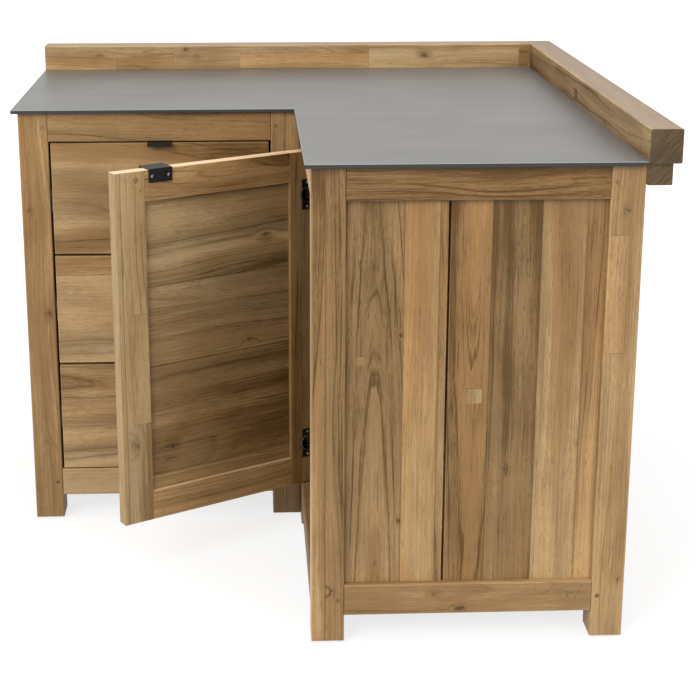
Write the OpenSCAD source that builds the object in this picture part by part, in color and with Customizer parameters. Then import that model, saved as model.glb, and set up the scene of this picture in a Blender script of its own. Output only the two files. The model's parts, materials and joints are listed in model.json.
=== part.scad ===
// L-shaped outdoor kitchen corner cabinet in reclaimed teak, with three drawers in the left wing,
// a hinged door on the inside face of the right wing, a thin worktop and a raised beam along the
// two wall sides. All sizes are in millimetres. +Z is up and the drawers face -Y.
// The origin is on the floor, under the middle of the cabinet's outline.

/* [Overall] */
// Height of the worktop's surface above the floor
top_h = 900; // [820:5:1000]
// Length of the left wing, from its end to the inside corner
left_wing_len = 575; // [500:5:800]
// Length of the right wing, from its end to the inside corner
right_wing_len = 575; // [500:5:800]
// Depth of both wings over the posts
wing_depth = 575; // [520:5:680]

/* [Frame] */
// Width of the square posts, also the thickness of the rails
post_w = 60; // [50:1:75]
// Height of the top and bottom rails
rail_h = 60; // [45:1:75]
// Clear height under the bottom rails
rail_clear = 55; // [40:1:90]
// Chamfer along the edges of posts, rails and beams
edge_ease = 2; // [0.5:0.5:4]
// Thickness of the glue line between two boards
glue_t = 0.2; // [0.1:0.1:0.4]
// Diameter of the wooden pegs that pin the rails to the posts
peg_d = 8; // [5:0.5:12]
// Length of a peg
peg_len = 25; // [15:1:35]
// Distance of a peg from the edge of its post
peg_in = 11; // [7:0.5:16]
// Diameter of the plastic glides under the posts
glide_d = 22; // [16:1:40]
// Height of the glides
glide_h = 4; // [2:0.5:10]

/* [Panels] */
// Thickness of the wall planks
plank_t = 18; // [12:1:25]
// How far the wall planks lie behind the face of the frame
plank_back = 12; // [5:1:20]
// Gap between two wall planks
plank_gap = 4; // [2:0.5:8]
// Width of the narrow plank in the end panel
narrow_plank_w = 178; // [100:1:240]
// Number of planks in the left side panel
left_planks = 3; // [2:1:5]
// Number of planks in each of the two wall side panels
wall_planks = 6; // [3:1:8]
// Thickness of the floor boards and of the drawer bay partition
board_t = 18; // [12:1:25]
// Side of the larger square patch let into the wide plank
patch_w = 28; // [15:1:40]
// Distance of the larger patch from the edge of the wide plank
patch_in = 34; // [5:1:60]
// Side of the smaller square patch let into the narrow plank
small_patch_w = 16; // [10:1:30]
// Distance of the smaller patch from the edge of the narrow plank
small_patch_in = 20; // [5:1:50]
// Height of the smaller patch's middle above the middle of the panel
small_patch_up = 68; // [0:1:200]
// Thickness of the patches
patch_t = 4; // [2:0.5:8]

/* [Top] */
// Thickness of the worktop
worktop_t = 8; // [6:1:20]
// Overhang of the worktop past the frame
overhang = 12; // [0:1:30]
// Width of the raised beams on the wall sides
beam_w = 57; // [40:1:80]
// Height of the raised beams
beam_h = 60; // [30:1:100]
// How far the beams reach down past the worktop's surface
beam_drop = 4; // [0:0.5:6]
// Width of the battens that carry the beams
batten_w = 45; // [30:1:50]
// Height of the battens that carry the beams
batten_h = 40; // [30:1:60]

/* [Drawers] */
// Thickness of the drawer fronts
front_t = 22; // [15:1:28]
// Gap at each side of the drawer fronts
front_gap_side = 4; // [2:0.5:6]
// Gap above the top front and below the bottom one
front_gap_end = 3; // [2.5:0.5:6]
// Gap between two drawer fronts
front_gap_mid = 5; // [3:0.5:8]
// Height of the drawer sides
box_h = 170; // [110:5:180]
// Height of the drawer sides above the lower edge of the front
box_lift = 25; // [12:1:30]
// Thickness of the drawer sides and backs
box_t = 15; // [10:1:20]
// Thickness of the drawer bottoms
bottom_t = 8; // [5:1:12]
// Room behind the drawer boxes
box_room = 43; // [20:1:80]

/* [Runners] */
// Room for one runner between the drawer side and the bay
runner_w = 13; // [12.5:0.5:16]
// Height of a runner
runner_h = 45; // [35:1:60]
// Thickness of the runner steel
runner_t = 1.5; // [1:0.1:2]
// Sliding clearance between the flanges of two nested runner rails
runner_clear = 0.3; // [0.2:0.05:0.5]
// Gap between the web of a rail and the flange ends of the rail inside it
web_gap = 1; // [0.5:0.1:1.2]
// Gap between the flange ends of the floating rail and the drawer's web
flange_gap = 0.5; // [0.3:0.1:1]
// How much shorter the floating rail is than the other two
float_short = 20; // [0:5:60]

/* [Door] */
// Thickness of the door
door_t = 25; // [22:1:30]
// Gap between the free edge of the door and the end post
door_gap_free = 3; // [2:0.5:6]
// Gap between the hinge edge of the door and the inner post
door_gap_hinge = 5; // [4.5:0.5:8]
// Gap below the door
door_gap_low = 3; // [2:0.5:8]
// Gap above the door
door_gap_high = 4; // [3:0.5:10]
// Width of the stile at the free edge
free_stile_w = 63; // [45:1:90]
// Width of the stile at the hinge edge
hinge_stile_w = 62; // [45:1:90]
// Height of the door's top and bottom rails
door_rail_h = 60; // [40:1:90]
// Thickness of the door panel
panel_t = 9; // [6:1:14]
// Angle that the door stands open
door_open = 60; // [0:5:90]

/* [Hinges] */
// Distance of the hinge axis from the hinge edge of the door
axis_in = 14; // [12:0.5:16]
// Distance of the hinge axis from the outer face of the door
axis_deep = 12; // [11:0.5:12.5]
// Distance of a hinge's middle from the end of the door
hinge_inset = 88; // [60:1:160]
// Diameter of the hinge cup
cup_d = 35; // [33:1:37]
// Distance of the cup's middle from the hinge edge
cup_in = 22; // [20:0.5:24]
// Depth of the cup in the door
cup_deep = 18; // [17:0.5:18.5]
// Wall of the cup
cup_t = 1.5; // [1:0.1:1.5]
// Height of the flange around the cup
flange_h = 62; // [52:1:70]
// Width of the flange around the cup
flange_w = 26; // [22:1:28]
// Distance between the two flange screws
flange_screws = 50; // [44:1:52]
// Diameter of the hinge pin
pin_d = 4; // [3:0.1:4.5]
// Radial clearance of the arm's eye on the pin
pin_clear = 0.05; // [0.03:0.01:0.1]
// Outside diameter of the arm's eye
eye_d = 6.4; // [6:0.1:6.6]
// Height of the hinge arm
arm_h = 15; // [10:0.5:16]
// Thickness of the hinge arm
arm_t = 5; // [3:0.5:5]
// Clearance above and below the arm in its slot
arm_room = 0.5; // [0.3:0.1:1]
// Clearance between the arm and the side of its slot
arm_side_room = 1.5; // [0.8:0.1:2]
// Thickness of the cheeks that hold the pin
cheek_t = 2.5; // [1.5:0.5:4]
// Length of the mounting plate on the post
plate_len = 26; // [20:1:28]
// Height of the mounting plate
plate_h = 50; // [36:1:60]
// Thickness of the mounting plate
plate_t = 4; // [2:0.5:5]

/* [Pulls] */
// Width of the bent metal pulls
pull_w = 50; // [35:1:120]
// Thickness of the pull metal
pull_t = 2; // [1:0.5:2]
// How far a pull stands out in front
pull_out = 15; // [10:1:20]
// Depth of the finger lip
pull_lip = 8; // [6:0.5:14]
// Height of the tab on the inside face
pull_tab = 25; // [18:1:40]
// Distance of the door pull's middle from the free edge
door_pull_in = 96; // [70:1:200]
// Distance between the two pull screws
pull_screws = 35; // [20:1:36]
// Diameter of the screw heads
screw_d = 6; // [4:0.5:7]
// Diameter of the flat top of the screw heads
screw_top_d = 3.6; // [2:0.2:4]
// Height of the screw heads
screw_h = 1.2; // [0.8:0.1:2]

/* [Hidden] */
$fn = 48;

// How far a cut reaches past the face it starts from
over = 1;

// Faces of the frame: the wall sides are at x_right and y_back, the inside corner is at x_in, y_in
body_x = left_wing_len + wing_depth;
body_y = right_wing_len + wing_depth;
x_left = (overhang - body_x - beam_w) / 2;
x_right = x_left + body_x;
y_near = (overhang - body_y - beam_w) / 2;
y_back = y_near + body_y;
x_in = x_right - wing_depth;
y_in = y_back - wing_depth;

// Heights of the frame and of the space between its rails
z_frame = top_h - worktop_t;
z_low = rail_clear + rail_h;
z_high = z_frame - rail_h;
rail_levels = [rail_clear, z_high];

// Inside faces of the posts, which limit the drawer bay and the doorway
bay_x0 = x_left + post_w;
bay_x1 = x_in - post_w;
way_y0 = y_near + post_w;
way_y1 = y_in - post_w;

// Battens under the raised beams
beam_z0 = top_h - beam_drop;
batten_z0 = beam_z0 - batten_h;

// Drawer fronts and boxes, counted from the top
front_h = (z_high - z_low - 2 * front_gap_end - 2 * front_gap_mid) / 3;
front_x0 = bay_x0 + front_gap_side;
front_x1 = bay_x1 - front_gap_side;
box_x0 = bay_x0 + runner_w;
box_x1 = bay_x1 - runner_w;
box_y0 = y_in + front_t;
box_y1 = y_back - post_w - box_room;
function front_z0(i) = z_high - front_gap_end - front_h * (i + 1) - front_gap_mid * i;
function front_z1(i) = front_z0(i) + front_h;
function runner_z(i) = front_z0(i) + box_lift + box_h / 2;

// Door as it stands closed, and its hinge axis
door_y0 = way_y0 + door_gap_free;
door_y1 = way_y1 - door_gap_hinge;
door_z0 = z_low + door_gap_low;
door_z1 = z_high - door_gap_high;
panel_x0 = x_in + (door_t - panel_t) / 2;
axis_x = x_in + axis_deep;
axis_y = door_y1 - axis_in;
hinge_levels = [door_z0 + hinge_inset, door_z1 - hinge_inset];
cup_y = door_y1 - cup_in;
cup_x0 = x_in + door_t - cup_deep;
slot_h = arm_h + 2 * arm_room;
slot_y0 = axis_y - arm_t / 2 - arm_side_room;

// Width of the room that the wide plank of the end panel fills
wide_plank_x0 = x_in + post_w + narrow_plank_w + plank_gap;
end_x0 = x_in + post_w;
end_x1 = x_right - post_w;

teak = "#a5825a";
teak_dark = "#8a673f";
slab_grey = "#969693";
black_metal = "#1c1c1c";
steel = "#a9aaac";

// A box between two corners
module block(low, high) {
  translate(low)
    cube(high - low);
}

// Outline of a sawn stick with eased edges
module eased(w, h) {
  e = edge_ease;
  polygon([[e, 0], [w - e, 0], [w, e], [w, h - e], [w - e, h], [e, h], [0, h - e], [0, e]]);
}

// A stick that stands, between two corners
module stick_z(low, high) {
  translate(low)
    linear_extrude(high.z - low.z)
      eased(high.x - low.x, high.y - low.y);
}

// A stick that lies along X, between two corners
module stick_x(low, high) {
  translate(low)
    rotate([90, 0, 90])
      linear_extrude(high.x - low.x)
        eased(high.y - low.y, high.z - low.z);
}

// A stick that lies along Y, between two corners
module stick_y(low, high) {
  translate([low.x, high.y, low.z])
    rotate([90, 0, 0])
      linear_extrude(high.y - low.y)
        eased(high.x - low.x, high.z - low.z);
}

// A square post with its near left corner at x, y, drilled for the pegs
module post(x, y) {
  color(teak)
    difference() {
      stick_z([x, y, glide_h], [x + post_w, y + post_w, z_frame]);
      pegs();
    }
}

// The places of the posts that stand on the floor
POSTS = [
  [x_in, y_near], [x_right - post_w, y_near], [x_left, y_in], [x_in - post_w, y_in],
  [x_in, y_in - post_w], [x_in, y_in], [x_left, y_back - post_w],
  [x_right - post_w, y_back - post_w]
];

// Peg from a face of the frame into a post
module peg_y(x, y, z) {
  translate([x, y, z])
    rotate([-90, 0, 0])
      cylinder(d = peg_d, h = peg_len);
}

module peg_x(x, y, z) {
  translate([x, y, z])
    rotate([0, 90, 0])
      cylinder(d = peg_d, h = peg_len);
}

// One peg at each end of each rail in the four faces that show
module pegs() {
  for (z = rail_levels) {
    level = z + rail_h / 2;
    peg_y(end_x0 - peg_in, y_near, level);
    peg_y(end_x1 + peg_in, y_near, level);
    peg_y(bay_x0 - peg_in, y_in, level);
    peg_y(bay_x1 + peg_in, y_in, level);
    peg_x(x_in, way_y0 - peg_in, level);
    peg_x(x_in, way_y1 + peg_in, level);
    peg_x(x_left, y_in + post_w - peg_in, level);
    peg_x(x_left, y_back - post_w + peg_in, level);
  }
}

module frame_pegs() {
  color(teak_dark)
    pegs();
}

module glides() {
  color(black_metal)
    for (p = POSTS)
      translate([p.x + post_w / 2, p.y + post_w / 2, 0])
        cylinder(d = glide_d, h = glide_h);
}

// Top and bottom rail along X, from x0 to x1, with their near face at y
module rails_x(x0, x1, y) {
  color(teak)
    for (z = rail_levels)
      stick_x([x0, y, z], [x1, y + post_w, z + rail_h]);
}

// Top and bottom rail along Y, from y0 to y1, with their left face at x
module rails_y(x, y0, y1) {
  color(teak)
    for (z = rail_levels)
      stick_y([x, y0, z], [x + post_w, y1, z + rail_h]);
}

// Cross members from the inner core post to the two wall sides
module inner_bearers() {
  rails_y(x_in, y_in + post_w, y_back - post_w);
  rails_x(x_in + post_w, x_right - post_w, y_in);
}

// Planks side by side along X between x0 and x1, with their near face at y
module planks_x(x0, x1, y, count) {
  w = (x1 - x0 - plank_gap * (count - 1)) / count;
  color(teak)
    for (i = [0 : count - 1])
      block([x0 + i * (w + plank_gap), y, z_low],
            [x0 + i * (w + plank_gap) + w, y + plank_t, z_high]);
}

// Planks side by side along Y between y0 and y1, with their left face at x
module planks_y(y0, y1, x, count) {
  w = (y1 - y0 - plank_gap * (count - 1)) / count;
  color(teak)
    for (i = [0 : count - 1])
      block([x, y0 + i * (w + plank_gap), z_low],
            [x + plank_t, y0 + i * (w + plank_gap) + w, z_high]);
}

// Square patches let flush into the two planks of the end panel
module patches() {
  y = y_near + plank_back;
  z = z_low + (z_high - z_low) / 2;
  small_z = z + small_patch_up;
  wide_x = wide_plank_x0 + patch_in;
  narrow_x = end_x0 + small_patch_in;
  block([wide_x, y, z - patch_w / 2], [wide_x + patch_w, y + patch_t, z + patch_w / 2]);
  block([narrow_x, y, small_z - small_patch_w / 2],
        [narrow_x + small_patch_w, y + patch_t, small_z + small_patch_w / 2]);
}

module end_plank(x0, x1) {
  color(teak)
    difference() {
      block([x0, y_near + plank_back, z_low], [x1, y_near + plank_back + plank_t, z_high]);
      patches();
    }
}

module end_plank_narrow() {
  end_plank(end_x0, end_x0 + narrow_plank_w);
}

module end_plank_wide() {
  end_plank(wide_plank_x0, end_x1);
}

module end_plank_patches() {
  color(teak_dark)
    patches();
}

// Floor boards of the drawer bay, of the corner and of the right wing, flush with the rails
module floor_boards() {
  z0 = z_low - board_t;
  color(teak) {
    block([bay_x0, y_in + post_w, z0], [x_in, y_back - post_w, z_low]);
    block([x_in + post_w, y_in + post_w, z0], [x_right - post_w, y_back - post_w, z_low]);
    block([x_in + post_w, way_y0, z0], [x_right - post_w, y_in, z_low]);
  }
}

// Upright board that carries the right hand runners
module drawer_bay_partition() {
  color(teak)
    block([bay_x1, y_in + post_w, z_low], [bay_x1 + board_t, y_back - post_w, z_frame]);
}

// Battens between the left hand posts that carry the left hand runners
module runner_battens() {
  color(teak)
    for (i = [0 : 2])
      block([x_left + plank_back + plank_t, y_in + post_w, runner_z(i) - runner_h / 2],
            [bay_x0, y_back - post_w, runner_z(i) + runner_h / 2]);
}

module worktop() {
  x0 = x_left - overhang;
  y0 = y_near - overhang;
  color(slab_grey)
    translate([0, 0, z_frame])
      linear_extrude(worktop_t)
        polygon([
          [x0, y_in - overhang], [x_in - overhang, y_in - overhang], [x_in - overhang, y0],
          [x_right, y0], [x_right, y_back], [x0, y_back]
        ]);
}

module back_splash_beam() {
  color(teak)
    stick_x([x_left - overhang, y_back, beam_z0], [x_right, y_back + beam_w, beam_z0 + beam_h]);
}

module right_splash_beam() {
  color(teak)
    stick_y([x_right, y_near - overhang, beam_z0],
            [x_right + beam_w, y_back + beam_w, beam_z0 + beam_h]);
}

module beam_battens() {
  color(teak) {
    stick_x([x_left, y_back, batten_z0], [x_right - glue_t, y_back + batten_w, beam_z0]);
    stick_y([x_right, y_near, batten_z0], [x_right + batten_w, y_back + batten_w, beam_z0]);
  }
}

// Turns the closed door about its hinge axis to the angle that it stands open
module door_pose() {
  translate([axis_x, axis_y, 0])
    rotate([0, 0, -door_open])
      translate([-axis_x, -axis_y, 0])
        children();
}

// Room for the hinge cup and for the arm that swings out over the hinge edge
module hinge_pocket(z) {
  translate([cup_x0, cup_y, z])
    rotate([0, 90, 0])
      cylinder(d = cup_d, h = cup_deep + over);
  block([cup_x0, slot_y0, z - slot_h / 2],
        [x_in + door_t + over, door_y1 + over, z + slot_h / 2]);
}

module door_free_stile() {
  color(teak)
    door_pose()
      block([x_in, door_y0, door_z0], [x_in + door_t, door_y0 + free_stile_w, door_z1]);
}

module door_hinge_stile() {
  color(teak)
    door_pose()
      difference() {
        block([x_in, door_y1 - hinge_stile_w, door_z0], [x_in + door_t, door_y1, door_z1]);
        for (z = hinge_levels)
          hinge_pocket(z);
      }
}

module door_rail(z) {
  color(teak)
    door_pose()
      block([x_in, door_y0 + free_stile_w, z],
            [x_in + door_t, door_y1 - hinge_stile_w, z + door_rail_h]);
}

module door_panel() {
  color(teak)
    door_pose()
      block([panel_x0, door_y0 + free_stile_w, door_z0 + door_rail_h],
            [panel_x0 + panel_t, door_y1 - hinge_stile_w, door_z1 - door_rail_h]);
}

// Side view of a pull bent over the edge of a board: the board's face is at 0, its top at 0,
// and the board reaches back by leaf_t
module pull_outline(leaf_t) {
  difference() {
    translate([-pull_out, -pull_tab])
      square([pull_out + leaf_t + pull_t, pull_tab + pull_t]);
    translate([-pull_out + pull_t, -pull_tab - over])
      square([pull_out - pull_t + leaf_t, pull_tab + over]);
    translate([-pull_out - over, -pull_tab - over])
      square([pull_t + 2 * over, pull_tab + over - (pull_lip - pull_t)]);
  }
}

module door_pull() {
  y = door_y0 + door_pull_in;
  color(black_metal)
    door_pose()
      translate([x_in, y + pull_w / 2, door_z1])
        rotate([90, 0, 0])
          linear_extrude(pull_w)
            pull_outline(door_t);
}

// Pan head of a screw that stands out along X from a face at x
module screw_head_x(x, y, z) {
  translate([x, y, z])
    rotate([0, 90, 0])
      cylinder(d1 = screw_d, d2 = screw_top_d, h = screw_h);
}

module door_screws() {
  color(steel)
    door_pose() {
      for (side = [-1, 1])
        screw_head_x(x_in + door_t + pull_t, door_y0 + door_pull_in + side * pull_screws / 2,
                     door_z1 - pull_tab / 2);
      for (z = hinge_levels)
        for (side = [-1, 1])
          screw_head_x(x_in + door_t + cup_t, cup_y, z + side * flange_screws / 2);
    }
}

// Hinge cup with its flange on the inside face, and two cheeks that hold the pin
module hinge_cup(z) {
  flange_x = x_in + door_t;
  difference() {
    union() {
      translate([cup_x0, cup_y, z])
        rotate([0, 90, 0])
          cylinder(d = cup_d, h = cup_deep);
      block([flange_x, cup_y - flange_w / 2, z - flange_h / 2],
            [flange_x + cup_t, cup_y + flange_w / 2, z + flange_h / 2]);
    }
    difference() {
      translate([cup_x0 + cup_t, cup_y, z])
        rotate([0, 90, 0])
          cylinder(d = cup_d - 2 * cup_t, h = cup_deep + cup_t);
      for (side = [-1, 1])
        translate([0, 0, side * (slot_h + cheek_t) / 2])
          block([cup_x0, axis_y - eye_d, z - cheek_t / 2],
                [axis_x + eye_d, axis_y + eye_d, z + cheek_t / 2]);
    }
    block([cup_x0 + cup_t, slot_y0, z - slot_h / 2],
          [flange_x + cup_t + over, door_y1 + over, z + slot_h / 2]);
  }
}

module hinge_cups() {
  color(black_metal)
    door_pose()
      for (z = hinge_levels)
        hinge_cup(z);
}

module hinge_pins() {
  color(steel)
    for (z = hinge_levels)
      translate([axis_x, axis_y, z - slot_h / 2])
        cylinder(d = pin_d, h = slot_h);
}

// Arm from the pin to the mounting plate on the inner post
module hinge_arm(z) {
  knee_x = x_in + door_t + cup_t + plate_t + arm_t;
  plate_y = way_y1 - plate_t;
  translate([0, 0, z - arm_h / 2])
    linear_extrude(arm_h)
      difference() {
        union() {
          translate([axis_x, axis_y])
            circle(d = eye_d);
          translate([axis_x, axis_y - arm_t / 2])
            square([knee_x + arm_t - axis_x, arm_t]);
          translate([knee_x, axis_y - arm_t / 2])
            square([arm_t, plate_y - axis_y + arm_t / 2]);
          translate([knee_x, plate_y - arm_t / 2])
            square([plate_len - arm_t, arm_t / 2]);
        }
        translate([axis_x, axis_y])
          circle(d = pin_d + 2 * pin_clear);
      }
}

module hinge_arms() {
  color(black_metal)
    for (z = hinge_levels)
      hinge_arm(z);
}

// Plates on the face of the inner post that the arms are clipped to
module hinge_mounting_plates() {
  x0 = x_in + door_t + cup_t + plate_t;
  color(black_metal)
    for (z = hinge_levels)
      block([x0, way_y1 - plate_t, z - plate_h / 2], [x0 + plate_len, way_y1, z + plate_h / 2]);
}

module drawer_front(i) {
  color(teak)
    block([front_x0, y_in, front_z0(i)], [front_x1, box_y0, front_z1(i)]);
}

// Two sides and the back of a drawer
module drawer_box(i) {
  z0 = front_z0(i) + box_lift;
  z1 = z0 + box_h;
  color(teak) {
    block([box_x0, box_y0, z0], [box_x0 + box_t, box_y1, z1]);
    block([box_x1 - box_t, box_y0, z0], [box_x1, box_y1, z1]);
    block([box_x0 + box_t + glue_t, box_y1 - box_t, z0],
          [box_x1 - box_t - glue_t, box_y1, z1]);
  }
}

module drawer_bottom(i) {
  z0 = front_z0(i) + box_lift;
  color(teak)
    block([box_x0 + box_t, box_y0, z0], [box_x1 - box_t, box_y1 - box_t, z0 + bottom_t]);
}

module drawer_pull(i) {
  middle = (front_x0 + front_x1) / 2;
  color(black_metal)
    translate([middle - pull_w / 2, y_in, front_z1(i)])
      rotate([90, 0, 90])
        linear_extrude(pull_w)
          pull_outline(front_t);
}

// A runner rail: a channel that is h high, from depth a to depth b off the bay's wall,
// with its web at the wall side when web_low is true
module channel(a, b, h, web_low, y0, y1) {
  web = web_low ? a : b - runner_t;
  translate([0, y1, 0])
    rotate([90, 0, 0])
      linear_extrude(y1 - y0)
        union() {
          translate([web, -h / 2])
            square([runner_t, h]);
          for (side = [-h / 2, h / 2 - runner_t])
            translate([a, side])
              square([b - a, runner_t]);
        }
}

// The same rail on both walls of the bay at the height of drawer i
module both_walls(i) {
  translate([bay_x0, 0, runner_z(i)])
    children();
  translate([bay_x1, 0, runner_z(i)])
    mirror([1, 0, 0])
      children();
}

// Height of each nested rail, from the outer one in
outer_rail_h = runner_h;
float_rail_h = outer_rail_h - 2 * (runner_t + runner_clear);
inner_rail_h = float_rail_h - 2 * (runner_t + runner_clear);

module cabinet_runner_rails() {
  color(steel)
    for (i = [0 : 2])
      both_walls(i)
        channel(0, runner_w - 2 * runner_t, outer_rail_h, true, box_y0, box_y1);
}

module floating_rails(i) {
  color(steel)
    both_walls(i)
      channel(runner_t + web_gap, runner_w - runner_t - flange_gap, float_rail_h, true,
              box_y0 + float_short / 2, box_y1 - float_short / 2);
}

module drawer_rails(i) {
  color(steel)
    both_walls(i)
      channel(2 * (runner_t + web_gap), runner_w, inner_rail_h, false, box_y0, box_y1);
}

post(POSTS[0].x, POSTS[0].y);  // end_post_left
post(POSTS[1].x, POSTS[1].y);  // end_post_right
post(POSTS[2].x, POSTS[2].y);  // left_front_post
post(POSTS[3].x, POSTS[3].y);  // inner_post_drawer_side
post(POSTS[4].x, POSTS[4].y);  // inner_post_door_side
post(POSTS[5].x, POSTS[5].y);  // inner_core_post
post(POSTS[6].x, POSTS[6].y);  // back_left_post
post(POSTS[7].x, POSTS[7].y);  // back_right_post
rails_x(end_x0, end_x1, y_near);  // end_rails
rails_x(bay_x0, bay_x1, y_in);  // drawer_bay_rails
rails_y(x_in, way_y0, way_y1);  // doorway_rails
rails_y(x_left, y_in + post_w, y_back - post_w);  // left_side_rails
rails_x(bay_x0, end_x1, y_back - post_w);  // back_rails
rails_y(x_right - post_w, way_y0, y_back - post_w);  // right_side_rails
inner_bearers();
end_plank_narrow();
end_plank_wide();
end_plank_patches();
planks_y(y_in + post_w, y_back - post_w, x_left + plank_back, left_planks);  // left_side_planks
planks_x(bay_x0, end_x1, y_back - plank_back - plank_t, wall_planks);  // back_planks
planks_y(way_y0, y_back - post_w, x_right - plank_back - plank_t, wall_planks);  // right_side_planks
floor_boards();
drawer_bay_partition();
runner_battens();
worktop();
back_splash_beam();
right_splash_beam();
beam_battens();
glides();
frame_pegs();
hinge_arms();
hinge_mounting_plates();
cabinet_runner_rails();
door_free_stile();
door_hinge_stile();
door_rail(door_z1 - door_rail_h);  // door_top_rail
door_rail(door_z0);  // door_bottom_rail
door_panel();
door_pull();
hinge_cups();
hinge_pins();
door_screws();
drawer_front(0);  // top_drawer_front
drawer_box(0);  // top_drawer_box
drawer_bottom(0);  // top_drawer_bottom
drawer_pull(0);  // top_drawer_pull
drawer_rails(0);  // top_drawer_rails
floating_rails(0);  // top_floating_rails
drawer_front(1);  // middle_drawer_front
drawer_box(1);  // middle_drawer_box
drawer_bottom(1);  // middle_drawer_bottom
drawer_pull(1);  // middle_drawer_pull
drawer_rails(1);  // middle_drawer_rails
floating_rails(1);  // middle_floating_rails
drawer_front(2);  // bottom_drawer_front
drawer_box(2);  // bottom_drawer_box
drawer_bottom(2);  // bottom_drawer_bottom
drawer_pull(2);  // bottom_drawer_pull
drawer_rails(2);  // bottom_drawer_rails
floating_rails(2);  // bottom_floating_rails
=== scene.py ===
# %% [markdown]
# # Outdoor kitchen corner cabinet
#
# The cabinet is an L of reclaimed teak: three drawers in the left wing, a door on the inside of
# the right wing, a thin stone-grey worktop and raised beams where it meets the walls. The
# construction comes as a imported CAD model, so its pieces already have their real size and place.
# This file gives each piece the surface, the softened edges and the small parts that a joiner's
# hands and years of weather leave, and then sets up a quiet studio around it. Lengths are in
# metres.

import json
import math
import random

import bmesh
import bpy
from mathutils import Matrix, Vector


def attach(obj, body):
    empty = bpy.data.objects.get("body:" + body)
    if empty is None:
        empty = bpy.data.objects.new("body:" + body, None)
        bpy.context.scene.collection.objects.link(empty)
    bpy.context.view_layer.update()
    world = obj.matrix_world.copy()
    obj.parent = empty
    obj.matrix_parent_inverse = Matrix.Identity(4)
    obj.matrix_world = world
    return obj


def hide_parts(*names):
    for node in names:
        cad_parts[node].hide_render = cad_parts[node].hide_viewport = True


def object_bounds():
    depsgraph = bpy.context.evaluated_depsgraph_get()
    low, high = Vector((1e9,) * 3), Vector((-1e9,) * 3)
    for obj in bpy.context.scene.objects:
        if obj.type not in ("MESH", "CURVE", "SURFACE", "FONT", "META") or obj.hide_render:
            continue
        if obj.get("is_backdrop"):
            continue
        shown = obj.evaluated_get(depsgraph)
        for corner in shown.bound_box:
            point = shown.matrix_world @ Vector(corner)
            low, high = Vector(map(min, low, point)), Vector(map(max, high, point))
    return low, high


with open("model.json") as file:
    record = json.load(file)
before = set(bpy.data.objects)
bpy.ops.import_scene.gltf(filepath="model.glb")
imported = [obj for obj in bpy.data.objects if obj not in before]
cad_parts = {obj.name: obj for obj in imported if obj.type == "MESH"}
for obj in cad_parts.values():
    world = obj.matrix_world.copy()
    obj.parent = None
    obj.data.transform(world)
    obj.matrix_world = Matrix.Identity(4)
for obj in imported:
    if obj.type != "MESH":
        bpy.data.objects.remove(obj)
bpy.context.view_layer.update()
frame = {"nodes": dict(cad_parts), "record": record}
body_of = {
    node: body
    for body, nodes in frame["record"]["behaviour"]["bodies"].items()
    for node in nodes
}
slot_of = {row["node"]: row["material_slot"] for row in frame["record"]["subparts"]}

# %% [markdown]
# ## The camera
#
# The photograph was taken from standing height with a long lens, straight at the end of the right
# wing. A long lens keeps the posts nearly upright. The lens is shifted a little, as an
# architectural photographer does, so that the cabinet sits in the frame without tilting the
# camera much further down. A camera without any turn looks straight down, so a quarter turn less
# the pitch aims it. Pitch and yaw are in radians, the lens and the sensor in millimetres.

# %% Put the camera where the photographer stood
CAMERA_AT = (-0.128, -3.201, 1.425)
CAMERA_PITCH = 0.2634
CAMERA_YAW = 0.0418
CAMERA_LENS = 81.1
CAMERA_SENSOR = 36
CAMERA_SHIFT = (0.05, -0.12)


def add_object(name, data):
    """Puts something new into the scene."""
    made = bpy.data.objects.new(name, data)
    bpy.context.collection.objects.link(made)
    return made


camera = add_object("camera", bpy.data.cameras.new("camera"))
camera.location = CAMERA_AT
camera.rotation_euler = (math.pi / 2 - CAMERA_PITCH, 0, -CAMERA_YAW)
camera.data.sensor_width = CAMERA_SENSOR
camera.data.lens = CAMERA_LENS
camera.data.shift_x, camera.data.shift_y = CAMERA_SHIFT
bpy.context.scene.camera = camera
print("camera at", CAMERA_AT, "with a", CAMERA_LENS, "mm lens")

# %% [markdown]
# ## Writing materials as sums
#
# A material in Blender is a graph of nodes. Wired by hand, even a short formula becomes a wall of
# boxes. Here one small class stands for a socket: when two of them are added or multiplied in
# Python, the Math node is made behind the scenes. Every other node comes from one method, which
# takes the node's type, its settings, what goes into its sockets, and which outputs are wanted.


# %% A socket that can be calculated with
class Wire:
    def __init__(self, graph, socket):
        self.graph = graph
        self.socket = socket

    def math(self, operation, other=0.0, swap=False):
        first, second = (other, self) if swap else (self, other)
        return self.graph.node("ShaderNodeMath", {"operation": operation}, {0: first, 1: second})

    __add__ = __radd__ = lambda self, other: self.math("ADD", other)
    __mul__ = __rmul__ = lambda self, other: self.math("MULTIPLY", other)
    __sub__ = lambda self, other: self.math("SUBTRACT", other)
    __rsub__ = lambda self, other: self.math("SUBTRACT", other, swap=True)
    __truediv__ = lambda self, other: self.math("DIVIDE", other)
    __pow__ = lambda self, other: self.math("POWER", other)


# %% The graph of a material or of the sky
class Graph:
    def __init__(self, owner):
        owner.use_nodes = True
        self.tree = owner.node_tree
        self.tree.nodes.clear()

    def put(self, socket, value):
        """Links a wire to a socket, or sets the socket to a number or a colour."""
        if isinstance(value, Wire):
            self.tree.links.new(value.socket, socket)
        elif isinstance(value, tuple) and len(socket.default_value) == 4:
            socket.default_value = (*value[:3], 1.0)
        else:
            socket.default_value = value

    def node(self, kind, settings=None, sockets=None, out=0):
        """Adds a node and gives the wanted output, or a list of them for a tuple."""
        made = self.tree.nodes.new(kind)
        for name, value in (settings or {}).items():
            setattr(made, name, value)
        for name, value in (sockets or {}).items():
            self.put(made.inputs[name], value)
        if isinstance(out, tuple):
            return [Wire(self, made.outputs[n]) for n in out]
        return Wire(self, made.outputs[out])


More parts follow.
